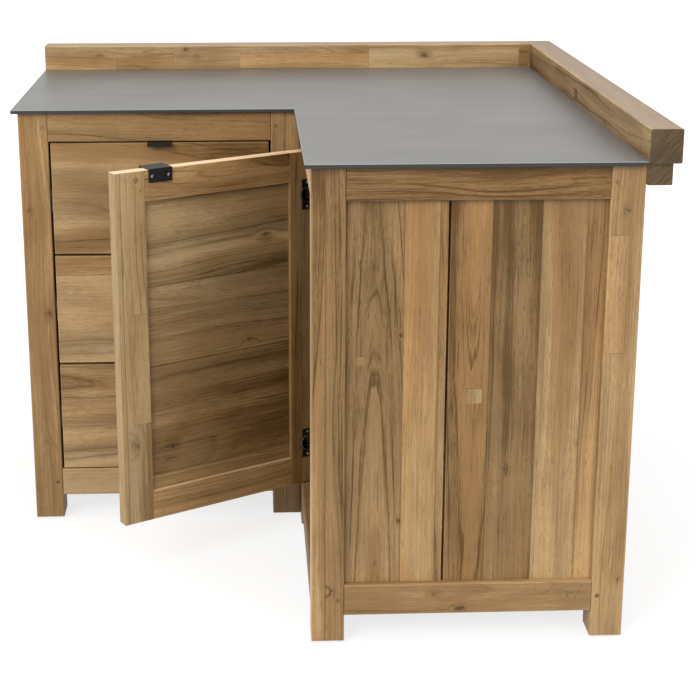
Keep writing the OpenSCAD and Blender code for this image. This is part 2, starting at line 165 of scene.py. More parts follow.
# %% [markdown]
# A finish is the graph of one material, with the few nodes that all finishes share.


# %% A material and the nodes it is made of
class Finish(Graph):
    def __init__(self, name):
        self.material = bpy.data.materials.new(name)
        super().__init__(self.material)
        self.shader = self.tree.nodes.new("ShaderNodeBsdfPrincipled")
        self.output = self.tree.nodes.new("ShaderNodeOutputMaterial")
        self.tree.links.new(self.shader.outputs[0], self.output.inputs[0])

    def surface(self, **sockets):
        for name, value in sockets.items():
            self.put(self.shader.inputs[name.replace("_", " ")], value)
        return self.material

    def place(self):
        return self.node("ShaderNodeTexCoord", out="Object")

    def attribute(self, name):
        return self.node("ShaderNodeAttribute", {"attribute_name": name}, out="Vector")

    def noise(self, at, scale=1.0, detail=2.0, roughness=0.5):
        sockets = {"Vector": at, "Scale": scale, "Detail": detail, "Roughness": roughness}
        return self.node("ShaderNodeTexNoise", None, sockets)

    def stretch(self, vector, *scales):
        return self.node("ShaderNodeVectorMath", {"operation": "MULTIPLY"}, {0: vector, 1: scales})

    def split(self, vector):
        return self.node("ShaderNodeSeparateXYZ", None, {0: vector}, out=(0, 1, 2))

    def join(self, x, y, z):
        return self.node("ShaderNodeCombineXYZ", None, {0: x, 1: y, 2: z})

    def step(self, value, low, high, start=0.0, end=1.0):
        names = ("Value", "From Min", "From Max", "To Min", "To Max")
        sockets = dict(zip(names, (value, low, high, start, end)))
        return self.node("ShaderNodeMapRange", {"interpolation_type": "SMOOTHSTEP"}, sockets)

    def blend(self, factor, first, second, how="MIX"):
        settings = {"data_type": "RGBA", "blend_type": how}
        return self.node("ShaderNodeMix", settings, {0: factor, 6: first, 7: second}, out=2)

    def bump(self, height, distance, strength=1.0):
        sockets = {"Height": height, "Distance": distance, "Strength": strength}
        return self.node("ShaderNodeBump", None, sockets)


# %% [markdown]
# Colours are easiest to judge as they look on a screen, while Blender calculates with light. This
# helper turns the one into the other.


# %% Turn a colour from screen values into light
def light_of(red, green, blue):
    values = [v / 255 for v in (red, green, blue)]
    return tuple(v / 12.92 if v <= 0.04045 else ((v + 0.055) / 1.055) ** 2.4 for v in values)


# %% [markdown]
# ## Boards with a grain of their own
#
# Every board of a real cabinet is cut from another place in the log, and its grain runs along its
# length. One pattern in the coordinates of the whole cabinet would run straight through all of
# them. So each CAD piece is copied, its loose triangles are merged, boards that were glued up from
# narrower ones are cut into those staves, and sharp edges get a small rounding that catches the
# light. Then each corner of each face is told where it lies in its own board: along the grain,
# across it and into it. The teak material reads only those values.
#
# The door stands open, so its pieces are turned square about the hinge for the work and back after
# it. Wood is shaded flat. On rounded metal, faces that nearly line up are shaded as one curve.

# %% Helpers for measuring pieces and keeping what is made
AXES = {"x": 0, "y": 1, "z": 2}
HINGE_AT = Vector((-0.0105, -0.1015, 0.473))
DOOR_OPEN = math.radians(60)
ROUND_BELOW = math.radians(20)
close_door = (
    Matrix.Translation(HINGE_AT)
    @ Matrix.Rotation(DOOR_OPEN, 4, "Z")
    @ Matrix.Translation(-HINGE_AT)
)


def squared(body):
    """The turn that brings a body's pieces square to the axes."""
    return close_door if body == "door" else Matrix.Identity(4)


def box_of(points):
    """The low and the high corner of the box round some points."""
    low = Vector([min(p[i] for p in points) for i in range(3)])
    high = Vector([max(p[i] for p in points) for i in range(3)])
    return low, high


def faces_box(faces):
    return box_of([v.co for f in faces for v in f.verts])


def square_box(node):
    """The box of a CAD piece once its body is turned square."""
    turn = squared(body_of[node])
    return box_of([turn @ v.co for v in frame["nodes"][node].data.vertices])


def keep(shape, name, material, body, rounded=False):
    """Makes the finished object and lets it ride on its body."""
    mesh = bpy.data.meshes.new(name)
    shape.to_mesh(mesh)
    shape.free()
    if rounded:
        mesh.shade_smooth()
        mesh.set_sharp_from_angle(angle=ROUND_BELOW)
    else:
        mesh.shade_flat()
    mesh.materials.append(material)
    piece = add_object(name, mesh)
    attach(piece, body)
    return piece


# %% [markdown]
# Which faces belong to one board? Faces that are joined by edges do, so the groups are found by
# walking from face to face. Two boards may touch along a corner. That edge then has four faces,
# the walk doesn't cross it, and the copy parts the boards there, because a bevel needs clean edges.
#
# Only outer edges are rounded. The inner corner of a pocket has to leave the hinge arm its room,
# and the short edges of drilled holes stay sharp too.

# %% Find the separate boards of a piece and round their edges
WELD = 1e-5
SAME_PLANE = math.radians(1)
SHARP = math.radians(30)


def boards_in(shape):
    """The faces of each separate board."""
    shape.faces.index_update()
    seen, boards = set(), []
    for start in shape.faces:
        if start.index in seen:
            continue
        seen.add(start.index)
        board, queue = [], [start]
        while queue:
            face = queue.pop()
            board.append(face)
            for edge in face.edges:
                for other in edge.link_faces if len(edge.link_faces) == 2 else ():
                    if other.index not in seen:
                        seen.add(other.index)
                        queue.append(other)
        boards.append(board)
    return boards


def merged_copy(node):
    """A copy of a CAD piece with whole faces, each of its boards a closed shell of its own."""
    shape = bmesh.new()
    shape.from_mesh(frame["nodes"][node].data)
    bmesh.ops.remove_doubles(shape, verts=shape.verts, dist=WELD)
    for board in boards_in(shape):
        if any(len(edge.link_faces) > 2 for face in board for edge in face.edges):
            bmesh.ops.split(shape, geom=board, use_only_faces=True)
    bmesh.ops.dissolve_limit(shape, angle_limit=SAME_PLANE, verts=shape.verts, edges=shape.edges)
    return shape


def round_edges(shape, ease, shortest=0.003):
    """Rounds every sharp outer edge that isn't part of a small drilled hole."""
    shape.normal_update()
    outer = [e for e in shape.edges if len(e.link_faces) == 2 and e.is_convex]
    edges = [e for e in outer if e.calc_face_angle(0) > SHARP and e.calc_length() > shortest]
    bmesh.ops.bevel(
        shape, geom=edges, offset=ease, offset_type="OFFSET", segments=2, profile=0.5,
        affect="EDGES", clamp_overlap=True, material=-1,
    )


# %% [markdown]
# The next helper holds the joiner's bookkeeping for one CAD piece. `seams` are the glue lines,
# measured across the board from its low side. `patches` are blocks that were let in where the wood
# was bad. `knots` are the knots that show, each with its place across, its place along and its
# radius, and with its board's number where a piece has several. Faces are divided at the glue
# lines, round the patches and halfway between knots, so that every face belongs to one stave and
# has one knot.
#
# `top` says how much paler the faces are that look up, and how warm: painted light from above.
# `left` is the lightness and warmth of the faces that look left: a painted highlight. The slope
# after them says how much paler each board grows over a metre: painted light and shade along the
# board.


# %% What is known about a piece's boards
class Wood:
    def __init__(
        self, along="", across="", seams=(), looks=(), patches=(), knots=(),
        top=(0.2, 0.1), left=None, fade=(0,),
    ):
        self.along, self.across = along, across
        self.seams, self.looks = seams, looks
        self.patches, self.knots = patches, knots
        self.top, self.left, self.fade = top, left, fade

    def axes(self, low, high):
        """The directions along, across and into one board: by its sizes where none is given."""
        by_size = sorted(range(3), key=lambda n: low[n] - high[n])
        a = AXES[self.along] if self.along else by_size[0]
        c = AXES[self.across] if self.across else next(n for n in by_size if n != a)
        return a, c, 3 - a - c

    def cuts(self, a, c):
        """Every line at which a face is divided: (axis, distance from the low corner)."""
        for place in self.seams:
            yield c, place
        for left, right, low, high, _look in self.patches:
            yield from ((c, left), (c, right), (a, low), (a, high))
        heights = sorted(knot[1] for knot in self.knots)
        for lower, upper in zip(heights, heights[1:]):
            yield a, (lower + upper) / 2


# %% Cut the boards of a piece into their staves and patches
HAIR = 1e-6


def divide(shape, wood):
    """Cuts each board of a piece at its lines, measured from the board's low corner."""
    for faces in boards_in(shape):
        low, high = faces_box(faces)
        a, c, _ = wood.axes(low, high)
        geometry = {v for f in faces for v in f.verts} | {e for f in faces for e in f.edges}
        geometry = list(geometry) + faces
        for axis, place in wood.cuts(a, c):
            normal = Vector((0, 0, 0))
            normal[axis] = 1
            geometry = bmesh.ops.bisect_plane(
                shape, geom=geometry, plane_co=low + normal * place, plane_no=normal, dist=HAIR
            )["geom"]


# %% [markdown]
# A stave's look is a short row of numbers: how light it is, how warm, how strong its figure is,
# and where the middle of the tree was, sideways and behind its face. A middle close behind the
# face gives the pointed arches of a flat-sawn board, and one far to the side gives straight
# lines. What a row leaves out is drawn at random, from a generator that starts from the piece's
# name, so that every run gives the same wood.
#
# A sixth number leans the grain into the board, so that its arches point one way, and calms it.

# %% Give each stave its own wood
FAR = 1.0
CALM = 0.75
DRAWN_FROM = ((-0.22, 0.22), (-0.4, 0.4), (0.35, 0.8), (-0.12, 0.12), (0.02, 0.10))


class Stave:
    """One stave or patch: its edges, measured from the board's low corner, and its wood."""

    def __init__(self, draw, sides, ends, look):
        self.left, self.right = sides
        self.low, self.high = ends
        drawn = [draw.uniform(*limits) for limits in DRAWN_FROM]
        row = (*look, *drawn[len(look):])
        self.tone, self.warmth, self.figure, side, depth = row[:5]
        self.start = Vector((draw.uniform(0, 9), -side, depth))
        self.lean = (draw.uniform(-0.035, 0.035), draw.uniform(-0.012, 0.012))
        self.calm = 0.0
        if len(look) > 5:
            self.lean, self.calm = (look[5], 0.0), CALM

    def holds(self, across, along):
        """Whether a face with this middle lies in the stave."""
        if not (self.left <= across + HAIR and self.low < along < self.high):
            return False
        return self.high == FAR or across < self.right


def staves_of(wood, draw, given, width):
    """The staves of one board from side to side, then its patches."""
    edges = [0, *wood.seams, width]
    whole = [Stave(draw, pair, (0, FAR), next(given, ())) for pair in zip(edges, edges[1:])]
    return whole + [Stave(draw, row[:2], row[2:4], row[4]) for row in wood.patches]


# %% [markdown]
# Five values are written to every corner of every face. `grain` is its place in the log. `board`
# is its lightness, its warmth and the kind of its face. `cut` and `ends` are its distances from
# the glue lines beside it and from a patch's ends, with the strength of the figure and the calm.
# `knot` is its place seen from the nearest knot, and the knot's radius. One metre stands for none.

# %% What a face looks like and which knot it has
MARKS = ("grain", "board", "cut", "ends", "knot")
NO_KNOT = (FAR, FAR, 0.001)
END_GRAIN, ARRIS, PLANED = 1.0, -1.0, 0.0
LESS_FIGURE = 0.4


def kind_of(tilt, a):
    """Whether a face is end grain, a rounded arris or a planed face."""
    if tilt[a] > 0.7:
        return END_GRAIN
    return ARRIS if max(tilt) < 0.995 else PLANED


def look_of(wood, stave, normal):
    """The lightness, warmth and figure of a stave's face that looks this way."""
    # faces that look left get a painted highlight
    if wood.left and normal.x < -0.95:
        return (*wood.left, stave.figure * LESS_FIGURE)
    # faces that look up are painted paler: painted light from above
    if normal.z > 0.9:
        return (stave.tone + wood.top[0], wood.top[1], stave.figure * LESS_FIGURE)
    return stave.tone, stave.warmth, stave.figure


def nearest_knot(wood, number, stave, along):
    """The knot of this board and stave that lies nearest along the board."""
    knots = [k for k in wood.knots if len(k) < 4 or k[3] == number]
    knots = [k for k in knots if stave.left <= k[0] <= stave.right]
    return min(knots, key=lambda k: abs(k[1] - along), default=NO_KNOT)


# %% Write the values to all corners
def mark_boards(shape, name, wood):
    grain, board, cut, ends, near = (shape.loops.layers.float_vector.new(n) for n in MARKS)
    draw = random.Random(name)
    shape.normal_update()
    boards = boards_in(shape)
    boards.sort(key=lambda faces: tuple(round(v, 3) for v in faces_box(faces)[0]))
    given = iter(wood.looks)
    for number, faces in enumerate(boards):
        low, high = faces_box(faces)
        middle = (low + high) / 2
        a, c, d = wood.axes(low, high)
        width = high[c] - low[c]
        staves = staves_of(wood, draw, given, width)
        # painted light and shade: each board grows paler or darker along its length
        fade = wood.fade[min(number, len(wood.fade) - 1)]
        for face in faces:
            centre = face.calc_center_median() - low
            within = [s for s in staves if s.holds(centre[c], centre[a])]
            stave = within[-1] if within else staves[0]
            tilt = [abs(v) for v in face.normal]
            flat = tilt[c] < 0.5 and tilt[a] < 0.5
            kind = kind_of(tilt, a)
            tone, warmth, figure = look_of(wood, stave, face.normal)
            knot = nearest_knot(wood, number, stave, centre[a]) if flat else NO_KNOT
            glued_left = flat and stave.left > 0
            glued_right = flat and stave.right < width - HAIR
            patched = flat and stave.high < FAR
            for loop in face.loops:
                spot = loop.vert.co - low
                up, into = (loop.vert.co[n] - middle[n] for n in (a, d))
                side = spot[c] - (stave.left + stave.right) / 2
                place = Vector((up, side + up * stave.lean[1], into + up * stave.lean[0]))
                from_left = spot[c] - stave.left if glued_left else FAR
                from_right = stave.right - spot[c] if glued_right else FAR
                from_low = spot[a] - stave.low if patched else FAR
                from_high = stave.high - spot[a] if patched else FAR
                loop[grain] = stave.start + place
                loop[board] = Vector((tone + fade * up, warmth, kind))
                loop[cut] = Vector((from_left, from_right, figure))
                loop[ends] = Vector((from_low, from_high, stave.calm))
                loop[near] = Vector((spot[a] - knot[1], spot[c] - knot[0], knot[2]))


def teak_boards(node, material, ease=0.0008, **wood):
    """Makes the dressed boards of one CAD piece and takes the plain ones away."""
    wood = Wood(**wood)
    turn = squared(body_of[node])
    shape = merged_copy(node)
    bmesh.ops.transform(shape, matrix=turn, verts=shape.verts)
    divide(shape, wood)
    round_edges(shape, ease)
    mark_boards(shape, node, wood)
    bmesh.ops.transform(shape, matrix=turn.inverted(), verts=shape.verts)
    piece = keep(shape, node + "_teak", material, body_of[node])
    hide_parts(node)


# %% [markdown]
# ## Reclaimed teak
#
# Old teak planed again shows broad soft bands from honey to grey-brown, thin dark lines where the
# year's growth slowed, short open pores, and here and there a knot that the lines flow round. All
# of it follows from how a log grows: rings round a middle that lies somewhere behind the board.
#
# The table says how fine each pattern is: waves in a metre along, across and into the board. Wood
# is made of long fibres, so nearly every pattern is far finer across than along.

# %% The colours of teak and the fineness of its patterns
DARK = light_of(88, 61, 20)
MIDDLE = light_of(148, 116, 75)
PALE = light_of(198, 165, 118)
# the palest cream, used for the painted highlight on upper edges
HIGHLIGHT_CREAM = light_of(244, 209, 169)
STAIN = light_of(44, 31, 20)
END_DARK = light_of(66, 50, 29)
END_PALE = light_of(130, 108, 72)
# grey of weathered wood together with a painted sheen
WEATHER_AND_SHEEN = light_of(160, 141, 121)
WARM = (1.09, 0.98, 0.84)
COOL = (0.94, 1.0, 1.09)

WAVES = {
    "wander": (1.5, 6, 6),
    "sway": (2.4, 9, 9),
    "wobble": (6, 42, 42),
    "ragged": (120, 160, 160),
    "streaks": (5, 330, 330),
    "fibres": (40, 1500, 1500),
    "clouds": (7, 11, 11),
    "flecks": (70, 1000, 1000),
    "ticks": (45, 620, 620),
    "checks": (3.2, 85, 85),
    "nails": (7, 17, 3),
}
BANDS, HUES, RINGS = 34, 26, 240
SAW_MARKS = 560


class Teak(Finish):
    """The teak while it is being made, with the values from a board's corners."""

    def __init__(self, name):
        super().__init__(name)
        self.at, look, cut, ends, knot = (self.attribute(mark) for mark in MARKS)
        self.along, self.across, self.deep = self.split(self.at)
        self.tone, self.warmth, kind = self.split(look)
        self.below, self.above, self.figure = self.split(cut)
        self.low_end, self.high_end, self.calm = self.split(ends)
        self.knot_along, self.knot_across, self.knot_size = self.split(knot)
        self.end_grain = kind.math("MAXIMUM", 0.0)
        self.arris = (kind * -1).math("MAXIMUM", 0.0)

    def pattern(self, name, detail, roughness=0.5):
        """Noise as fine as the table says."""
        return self.noise(self.stretch(self.at, *WAVES[name]), 1.0, detail, roughness)


# %% [markdown]
# The material first works out how far each point is from the middle of the tree, bends that
# distance with slow noise, because no trunk is straight, and swells it near a knot, because the
# rings flow round a branch.


# %% The distance from the middle of the tree
def find_place(t):
    wander = t.pattern("wander", 1) - 0.5
    sway = t.pattern("sway", 1) - 0.5
    wobble = t.pattern("wobble", 2) - 0.5
    y = t.across + wander * (1 - t.calm) * 0.07
    z = t.deep + sway * (1 - t.calm) * 0.06
    knot_distance = ((t.knot_along * 0.7) ** 2 + t.knot_across**2).math("SQRT")
    t.from_knot = knot_distance / t.knot_size
    t.swell = t.step(t.from_knot + wobble * 2, 3.6, 0.3)
    t.radius = (y * y + z * z).math("SQRT") + wobble * 0.007 + t.swell * t.knot_size * 2.2


# %% [markdown]
# Evenly spaced rings would look printed, because no two years are alike. So the distance doesn't
# draw the lines itself. It is only the place at which noise is read: broad noise for the bands
# and fine noise for the lines. Both then follow the same arches, with widths and strengths that
# change from line to line. Each reads a slice of its own, so that they don't repeat one another.


# %% Bands, lines, fibres and pores
def grow_wood(t):
    t.bands = t.noise(t.join(t.radius * BANDS, t.along * 0.5, 2.3), detail=1) - 0.5
    t.hues = t.noise(t.join(t.radius * HUES, t.along * 0.8, 7.1), detail=1) - 0.5
    lines = t.join(t.radius * RINGS, t.along * 1.3, 4.7)
    rings = t.noise(lines, detail=3, roughness=0.62)
    t.late = t.step(rings, 0.53, 0.70)
    t.early = t.step(rings, 0.46, 0.30)
    t.streaks = t.pattern("streaks", 3, 0.65) - 0.5
    t.fibres = t.pattern("fibres", 1) - 0.5
    t.clouds = t.pattern("clouds", 3) - 0.5
    open_wood = t.step(t.bands + t.clouds, -0.05, 0.14)
    t.pores = t.step(t.pattern("flecks", 0), 0.60, 0.70) * open_wood


# %% [markdown]
# All patterns are added up to one value from dark to pale, which picks the colour. Its palest step
# is a painted highlight. The stave's warmth, with slow changes of its own, then tints it. A warmth
# below minus one turns the wood pale grey: weathered wood with a painted sheen, for the beams'
# tops.


# %% The colour of a planed face
def face_colour(t):
    ticks = t.step(t.pattern("ticks", 1), 0.60, 0.70)
    value = 0.5 + t.tone * 0.5 + t.bands * (t.figure * 1.8 + 0.38) + t.clouds * 0.6
    value = value + t.streaks * 0.65 + t.fibres * 0.28 - ticks * 0.16
    value = value - t.late * (t.figure * 0.52 + 0.05) + t.early * 0.08 - t.pores * 0.16
    # rounded arrises are painted paler: wear and a painted highlight
    value = value - t.swell * 0.16 + t.arris * 0.14
    colour = t.blend(t.step(value, 0.0, 0.5), DARK, MIDDLE)
    colour = t.blend(t.step(value, 0.45, 1.05), colour, PALE)
    # the palest step is a painted highlight, reached on the door's upper edges
    colour = t.blend(t.step(value, 1.05, 1.6), colour, HIGHLIGHT_CREAM)
    hue = 0.5 + t.warmth * 0.5 + t.hues * 1.6
    colour = t.blend(1.0, colour, t.blend(hue, COOL, WARM), "MULTIPLY")
    # weathered grey and painted sheen on the faces that look up on the beams
    return t.blend(t.step(t.warmth, -1.0, -1.5, 0.0, 0.65), colour, WEATHER_AND_SHEEN)


# %% [markdown]
# A sawn end drinks more oil than a face and turns olive and dark. It shows arcs of the years, and
# on part of it the fine slanting marks of the saw.


# %% The colour of a sawn end
def end_colour(t):
    slant = t.join((t.across + t.deep) * 14, (t.across - t.deep) * SAW_MARKS, 1.7)
    sawn = t.noise(slant, detail=1) - 0.5
    scored = t.step(t.across * 0.8 - t.deep + t.clouds * 0.05, -0.08, -0.12, 0.3, 1.3)
    value = 0.27 + t.tone * 0.2 + sawn * scored
    value = value + t.bands * 0.4 + t.clouds * 0.7 - t.late * 0.08
    colour = t.blend(t.step(value, 0.0, 1.0), END_DARK, END_PALE)
    # very pale tones, on the upper ends of the door's stiles, take the painted highlight
    return t.blend(t.step(t.tone, 1.2, 2.0), colour, HIGHLIGHT_CREAM)


# %% [markdown]
# Reclaimed wood has had another life. Drying cracks follow the grain, and old nail holes lie about
# at random: a Voronoi pattern puts one point into each cell, and only a few cells keep theirs. The
# glue lines come from the distances at the corners, and a knot has a dark ragged heart.


# %% Cracks, nail holes, glue lines and the hearts of knots
def dark_marks(t):
    crack = t.step(t.pattern("checks", 2, 0.4), 0.735, 0.77) * 0.6
    cells = {"Vector": t.stretch(t.at, *WAVES["nails"]), "Scale": 1.0}
    from_nail, lot = t.node("ShaderNodeTexVoronoi", None, cells, out=("Distance", "Color"))
    nail = t.step(from_nail, 0.045, 0.02) * t.step(t.split(lot)[1], 0.86, 0.87) * 0.8
    edge = t.below.math("MINIMUM", t.above)
    edge = edge.math("MINIMUM", t.low_end.math("MINIMUM", t.high_end))
    glue = t.step(edge, 0.0014, 0.0004) * (0.42 + t.streaks)
    ragged = t.pattern("ragged", 2) - 0.5
    heart = t.step(t.from_knot + ragged * 5.0, 0.9, 0.1) * 0.55
    return crack.math("MAXIMUM", nail).math("MAXIMUM", glue).math("MAXIMUM", heart)


# %% The teak material
def teak(name):
    t = Teak(name)
    find_place(t)
    grow_wood(t)
    marks = dark_marks(t)
    colour = t.blend(t.end_grain, face_colour(t), end_colour(t))
    height = t.streaks * 0.6 + t.fibres * 0.7 - t.late * 0.3 - t.pores * 0.5 - marks * 1.5
    return t.surface(
        Base_Color=t.blend(marks, colour, STAIN),
        Roughness=0.55 + t.late * 0.05 - t.arris * 0.06 + t.streaks * 0.15,
        Specular_IOR_Level=0.45,
        Normal=t.bump(height, 0.0006, 0.5),
    )


teak_frame = teak("teak_frame")
teak_planks = teak("teak_planks")
print("nodes in the teak:", len(teak_frame.node_tree.nodes))

# %% [markdown]
# ## Posts and rails
#
# The frame is sawn from 60 mm sticks. Posts have their grain upright, and rails have it along
# themselves. Each gets its own lightness and warmth, because in the photograph every stick is a
# little different.

# %% The frame's posts
POST_EASE = 0.0016
POSTS = {
    "end_post_left": {
        "seams": [0.025], "looks": [(-0.14, 0.4, 0.5, 0.2, 0.05), (-0.18, -0.1, 0.6, 0.15, 0.05)],
        "left": (1.6, -0.7), "fade": (-0.8,),
        "knots": [(0.037, 0.100, 0.005)],
    },
    "end_post_right": {
        "looks": [(0.43, 0.1, 0.25, -0.2, 0.1)], "fade": (-0.5,),
        "patches": [(0.0, 0.037, 0.549, 0.764, (0.34, 0.0, 0.2, 0.3, 0.1))],
        "knots": [(0.049, 0.115, 0.0035), (0.030, 0.81, 0.004)],
    },
    "left_front_post": {
        "looks": [(0.12, 0.3, 0.3, 0.2, 0.06)],
        "knots": [(0.049, 0.46, 0.006), (0.014, 0.684, 0.004), (0.032, 0.174, 0.004)],
    },
    "inner_post_drawer_side": {
        "seams": [0.029], "looks": [(0.12, -0.5, 0.3, 0.2, 0.05), (0.14, -0.4, 0.3, -0.2, 0.05)],
    },
    "inner_post_door_side": {"looks": [(-0.05, 0.1)]},
    "inner_core_post": {},
    "back_left_post": {"seams": [0.031]},
    "back_right_post": {"seams": [0.028]},
}
for node, wood in POSTS.items():
    teak_boards(node, teak_frame, ease=POST_EASE, along="z", across="x", **wood)

# %% The frame's rails, bearers and beams
RAILS = {
    "end_rails": {
        "across": "z", "looks": [(0.42, 0.0, 0.5, 0.02, 0.09), (-0.60, 0.2, 0.5, 0.06, 0.10)],
        "fade": (1.0, -0.3),
        "knots": [(0.041, 0.1645, 0.004, 0), (0.0095, 0.213, 0.005, 0), (0.037, 0.4185, 0.008, 0)],
    },
    "drawer_bay_rails": {
        "across": "z", "looks": [(0.86, -0.2, 0.2, 0.05, 0.1), (-0.16, -0.6, 0.4, 0.04, 0.07)],
    },
    "doorway_rails": {"looks": [(), (1.4, -0.9)]},
    "left_side_rails": {},
    "back_rails": {},
    "right_side_rails": {},
    "inner_bearers": {},
    "runner_battens": {},
    "beam_battens": {"looks": [(0.0, 0.0), (0.3, -0.2, 0.5, 0.02, 0.12)]},
    "back_splash_beam": {
        "across": "z", "top": (-0.4, -1.5), "looks": [(0.48, -0.35, 0.4, 0.02, 0.06)],
        "patches": [
            (0.003, 0.042, 0.169, 0.305, (0.34, -0.1, 0.5)),
            (0.003, 0.040, 0.463, 0.772, (0.30, 0.1, 0.5)),
            # the third only makes this stretch of the beam lighter
            (0.0, 0.061, 0.772, 1.134, (0.76, -0.45, 0.4)),
            (0.006, 0.052, 1.134, 1.156, (-0.1, 0.6, 0.6)),
        ],
        "knots": [
            (0.036, 0.130, 0.003), (0.050, 0.335, 0.003), (0.034, 0.360, 0.003),
            (0.032, 0.905, 0.006),
        ],
    },
    "right_splash_beam": {
        "across": "z", "top": (-0.22, -1.5), "fade": (-0.45,),
        "looks": [(-0.19, -0.5, 0.6, 0.05, 0.06)],
        "knots": [(0.030, 0.62, 0.006)],
    },
}
for node, wood in RAILS.items():
    teak_boards(node, teak_frame, **wood)
print("sticks of the frame:", len(POSTS) + len(RAILS))

# %% [markdown]
# ## Planks and panels
#
# The wide planks are glued up from narrow staves of different colour. That is the strongest
# pattern in the photograph's near end: a grey-brown stave beside a honey one. Two square patches
# fill flaws in them, with edges almost as sharp as the chisel left them.

# %% Planks of the near end
PLANK_EASE = 0.0012
PATCH_EASE = 0.0002
teak_boards(
    "end_plank_narrow", teak_planks, ease=PLANK_EASE, along="z", across="x", seams=[0.102, 0.164],
    looks=[
        (-0.14, -0.05, 0.80, 0.0, 0.045, 0.035), (0.42, 0.45, 0.2, 0.25, 0.1),
        (-0.08, 0.0, 0.4, 0.2, 0.1),
    ],
    fade=(-0.9,),
    knots=[(0.096, 0.474, 0.003), (0.099, 0.121, 0.004)],
)
teak_boards(
    "end_plank_wide", teak_planks, ease=PLANK_EASE, along="z", across="x",
    seams=[0.073, 0.159, 0.238],
    looks=[
        (0.06, 0.7, 1.1, 0.010, 0.040, -0.03), (-0.44, -0.35, 0.3, 0.15, 0.08),
        (0.22, 0.0, 0.15, -0.15, 0.05), (0.28, 0.45, 0.6, 0.2, 0.06),
    ],
    fade=(-1.0,),
    knots=[(0.107, 0.218, 0.004), (0.2375, 0.266, 0.003)],
)
teak_boards(
    "end_plank_patches", teak_planks, ease=PATCH_EASE, along="z", across="x",
    looks=[(0.14, -0.1, 0.2), (0.26, -0.3, 0.1)],
)

# %% Planks of the other sides, the floor and the partition
SIDES = {
    "left_side_planks": [0.055],
    "back_planks": [0.07],
    "right_side_planks": [0.09],
    "floor_boards": [0.09, 0.18, 0.27, 0.36],
    "drawer_bay_partition": [0.11, 0.2, 0.31],
}
for node, seams in SIDES.items():
    teak_boards(node, teak_planks, seams=seams)
print("planked sides and floors:", len(SIDES))

# %% [markdown]
# Pegs hold the frame's joints. They show their end grain, and a dark glue line runs round each.
# The face of a peg is poked to a middle point, so that the distance from the rim can be written to
# its corners, and the teak then draws its glue line round the rim by itself. A peg is planed
# flush, so it is paler than a sawn end and counts as end grain by less than half.


# %% Pegs
PEG_END = 0.45
PEG_RIM = 0.9
PEG_FIGURE = 0.3


def ring_pegs(shape, name, along, across, look):
    """Marks a mesh of round pegs as end grain with a glue line round each face."""
    axis = AXES[along]
    ends = [f for f in shape.faces if abs(f.normal[axis]) > 0.9 and len(f.verts) > 4]
    bmesh.ops.poke(shape, faces=ends)
    count = len(boards_in(shape))
    mark_boards(shape, name, Wood(along=along, across=across, looks=[look] * count))
    cut = shape.loops.layers.float_vector["cut"]
    board = shape.loops.layers.float_vector["board"]
    for faces in boards_in(shape):
        low, high = faces_box(faces)
        middle = (low + high) / 2
        radius = (high - low)[AXES[across]] / 2
        for face in faces:
            for loop in face.loops:
                away = loop.vert.co - middle
                away[axis] = 0
                loop[cut] = Vector(((radius - away.length) * PEG_RIM, FAR, PEG_FIGURE))
                loop[board].z = min(loop[board].z, PEG_END)
    print(name + ":", count)


teak_pegs = teak("teak_pegs")
shape = merged_copy("frame_pegs")
ring_pegs(shape, "frame_pegs", "y", "x", (0.3, 0.1, 0.2))
piece = keep(shape, "frame_pegs_teak", teak_pegs, "cabinet")
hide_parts("frame_pegs")

# %% [markdown]
# ## The door
#
# The door is a frame round a thin panel. Its upper edges are painted much paler than its faces, a
# painted highlight of the light from above, and painted shade makes the panel and rails darker
# towards the hinges.

# %% The door's stiles, rails and panel
teak_boards(
    "door_free_stile", teak_frame, along="z", across="y", seams=[0.011], top=(1.4, -0.6),
    looks=[(0.62, -0.1, 0.2, 0.2, 0.1), (0.70, -0.3, 0.3, 0.15, 0.08)],
    patches=[
        (0.052, 0.063, 0.0, 0.205, (0.1, -0.2, 0.3)),
        (0.025, 0.063, 0.205, 0.43, (0.72, -0.1, 0.2)),
    ],
    knots=[(0.030, 0.165, 0.009)],
)
teak_boards(
    "door_hinge_stile", teak_frame, along="z", across="y", top=(1.9, -0.6),
    looks=[(-0.06, -0.1, 0.4, 0.2, 0.1)],
)
teak_boards(
    "door_top_rail", teak_frame, along="y", across="z", top=(2.0, -0.6),
    looks=[(0.24, 0.5, 0.9, 0.03, 0.05)], fade=(-0.6,),
)
teak_boards(
    "door_bottom_rail", teak_frame, along="y", across="z", top=(1.2, -0.6),
    looks=[(0.18, 0.6, 0.7, 0.1, 0.05)], fade=(-2.1,),
)
teak_boards(
    "door_panel", teak_planks, along="y", across="z", seams=[0.030, 0.258, 0.418],
    fade=(-2.0,),
    looks=[
        (0.10, -0.1, 0.3, 0.1, 0.05), (-0.36, -0.2, 0.3, -0.08, 0.07),
        (0.12, -0.5, 0.3, 0.09, 0.05), (0.16, -0.5, 0.45, 0.12, 0.06),
    ],
    knots=[(0.49, 0.27, 0.007), (0.275, 0.23, 0.006), (0.085, 0.05, 0.005)],
)

# %% [markdown]
# ## The drawers
#
# Each front is glued up from boards that lie across, and behind it is a plain box. The edges of
# the fronts are eased more than those of the boxes, because hands touch them every day.

